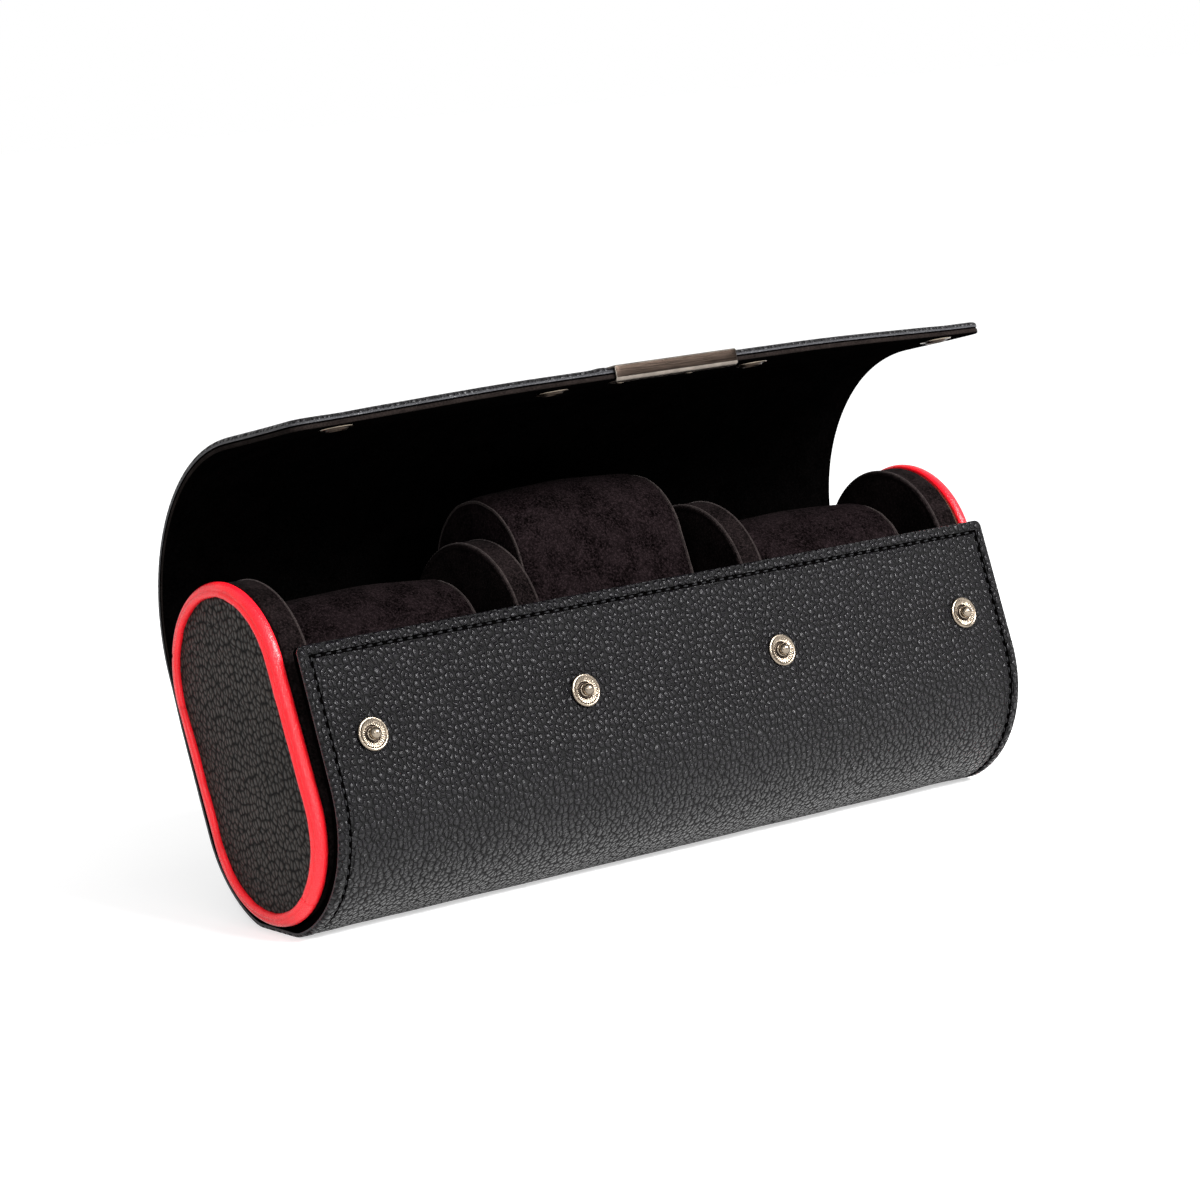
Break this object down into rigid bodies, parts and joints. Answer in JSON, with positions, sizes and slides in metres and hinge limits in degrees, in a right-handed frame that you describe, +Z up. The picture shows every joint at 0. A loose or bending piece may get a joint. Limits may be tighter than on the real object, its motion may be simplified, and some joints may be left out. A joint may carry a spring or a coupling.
{
  "type": "watch travel case",
  "caption": "Roll-shaped travel case for watches: a stiffened leather wrap with end discs, dividers, lift-out cushions and a roll-over snap lid.",
  "frame": {"origin": "centre of the flat on which the rounded bottom rests", "axes": "+X along the roll towards the viewer's right, +Y from the front panel to the back wall, +Z up; the roll leans back about X"},
  "size_m": [0.2452, 0.0839, 0.1416],
  "materials": {
    "pebbled_leather": "satin",
    "disc_leather": "matte",
    "red_leather": "satin",
    "suede": "matte",
    "padding": "matte",
    "foam": "matte",
    "board": "matte",
    "core_board": "matte",
    "nickel": "polished",
    "gunmetal": "polished"
  },
  "bodies": {
    "shell_body": {"shell_leather": "pebbled_leather", "shell_board": "board", "shell_lining": "suede", "bed_pad": "padding", "end_core_left": "core_board", "end_suede_left": "suede", "end_face_left": "disc_leather", "end_band_left": "red_leather", "end_core_right": "core_board", "end_suede_right": "suede", "end_face_right": "disc_leather", "end_band_right": "red_leather", "divider_core_left": "core_board", "divider_suede_left": "suede", "divider_core_right": "core_board", "divider_suede_right": "suede"},
    "front_panel": {"panel_leather": "pebbled_leather", "panel_board": "board", "panel_lining": "suede", "snap_studs": "nickel", "stud_rivets": "nickel"},
    "lid_1": {"lid_leather_1": "pebbled_leather", "lid_lining_1": "suede"},
    "lid_2": {"lid_leather_2": "pebbled_leather", "lid_lining_2": "suede"},
    "lid_3": {"lid_leather_3": "pebbled_leather", "lid_lining_3": "suede"},
    "lid_4": {"lid_leather_4": "pebbled_leather", "lid_lining_4": "suede"},
    "lid_5": {"lid_leather_5": "pebbled_leather", "lid_lining_5": "suede"},
    "lid_6": {"lid_leather_6": "pebbled_leather", "lid_lining_6": "suede"},
    "lid_7": {"lid_leather_7": "pebbled_leather", "lid_lining_7": "suede"},
    "flap": {"flap_leather": "pebbled_leather", "flap_lining": "suede", "snap_sockets": "nickel", "edge_clip": "gunmetal", "clip_rivets": "nickel"},
    "cushion_left": {"cushion_core_left": "foam", "cushion_cover_left": "suede"},
    "cushion_middle": {"cushion_core_middle": "foam", "cushion_cover_middle": "suede"},
    "cushion_right": {"cushion_core_right": "foam", "cushion_cover_right": "suede"}
  },
  "joints": [
    {"name": "lid", "type": "hinge", "parent": "shell_body", "child": "lid_1", "pos_m": [0, 0.04366, 0.05475], "axis": [-1, 0, 0], "range_deg": [-15.02, 6.02]},
    {"name": "lid_bend_2", "type": "hinge", "parent": "lid_1", "child": "lid_2", "pos_m": [0, 0.04818, 0.0683], "axis": [-1, 0, 0], "range_deg": [-12.02, 4.82]},
    {"name": "lid_bend_3", "type": "hinge", "parent": "lid_2", "child": "lid_3", "pos_m": [0, 0.04951, 0.08249], "axis": [-1, 0, 0], "range_deg": [-10.02, 4.02]},
    {"name": "lid_bend_4", "type": "hinge", "parent": "lid_3", "child": "lid_4", "pos_m": [0, 0.04701, 0.09653], "axis": [-1, 0, 0], "range_deg": [-8.02, 3.22]},
    {"name": "lid_bend_5", "type": "hinge", "parent": "lid_4", "child": "lid_5", "pos_m": [0, 0.04085, 0.10939], "axis": [-1, 0, 0], "range_deg": [-5.02, 2.02]},
    {"name": "lid_bend_6", "type": "hinge", "parent": "lid_5", "child": "lid_6", "pos_m": [0, 0.0315, 0.12015], "axis": [-1, 0, 0], "range_deg": [-3.02, 1.22]},
    {"name": "lid_bend_7", "type": "hinge", "parent": "lid_6", "child": "lid_7", "pos_m": [0, 0.01961, 0.12802], "axis": [-1, 0, 0], "range_deg": [-1.02, 0.42]},
    {"name": "flap", "type": "hinge", "parent": "lid_7", "child": "flap", "pos_m": [0, 0.00606, 0.13246], "axis": [-1, 0, 0], "range_deg": [-30, 8]},
    {"name": "front_panel_flex", "type": "hinge", "parent": "shell_body", "child": "front_panel", "pos_m": [0, -0.03204, 0.04441], "axis": [1, 0, 0], "range_deg": [0, 10], "stiffness_Nm_per_rad": 0.4},
    {"name": "cushion_left_lift", "type": "slide", "parent": "shell_body", "child": "cushion_left", "axis": [0, 0.342, 0.9397], "range_m": [0, 0.026]},
    {"name": "cushion_right_lift", "type": "slide", "parent": "shell_body", "child": "cushion_right", "axis": [0, 0.342, 0.9397], "range_m": [0, 0.026]},
    {"name": "cushion_middle_lift", "type": "slide", "parent": "shell_body", "child": "cushion_middle", "axis": [0, 0.342, 0.9397], "range_m": [-0.0203, 0.00812]}
  ],
  "couplings": [
    {"joint": "lid", "follows": "cushion_middle_lift", "rad_per_m": 12.897},
    {"joint": "lid_bend_2", "follows": "cushion_middle_lift", "rad_per_m": 10.317},
    {"joint": "lid_bend_3", "follows": "cushion_middle_lift", "rad_per_m": 8.5977},
    {"joint": "lid_bend_4", "follows": "cushion_middle_lift", "rad_per_m": 6.8781},
    {"joint": "lid_bend_5", "follows": "cushion_middle_lift", "rad_per_m": 4.2988},
    {"joint": "lid_bend_6", "follows": "cushion_middle_lift", "rad_per_m": 2.5793},
    {"joint": "lid_bend_7", "follows": "cushion_middle_lift", "rad_per_m": 0.85977}
  ]
}
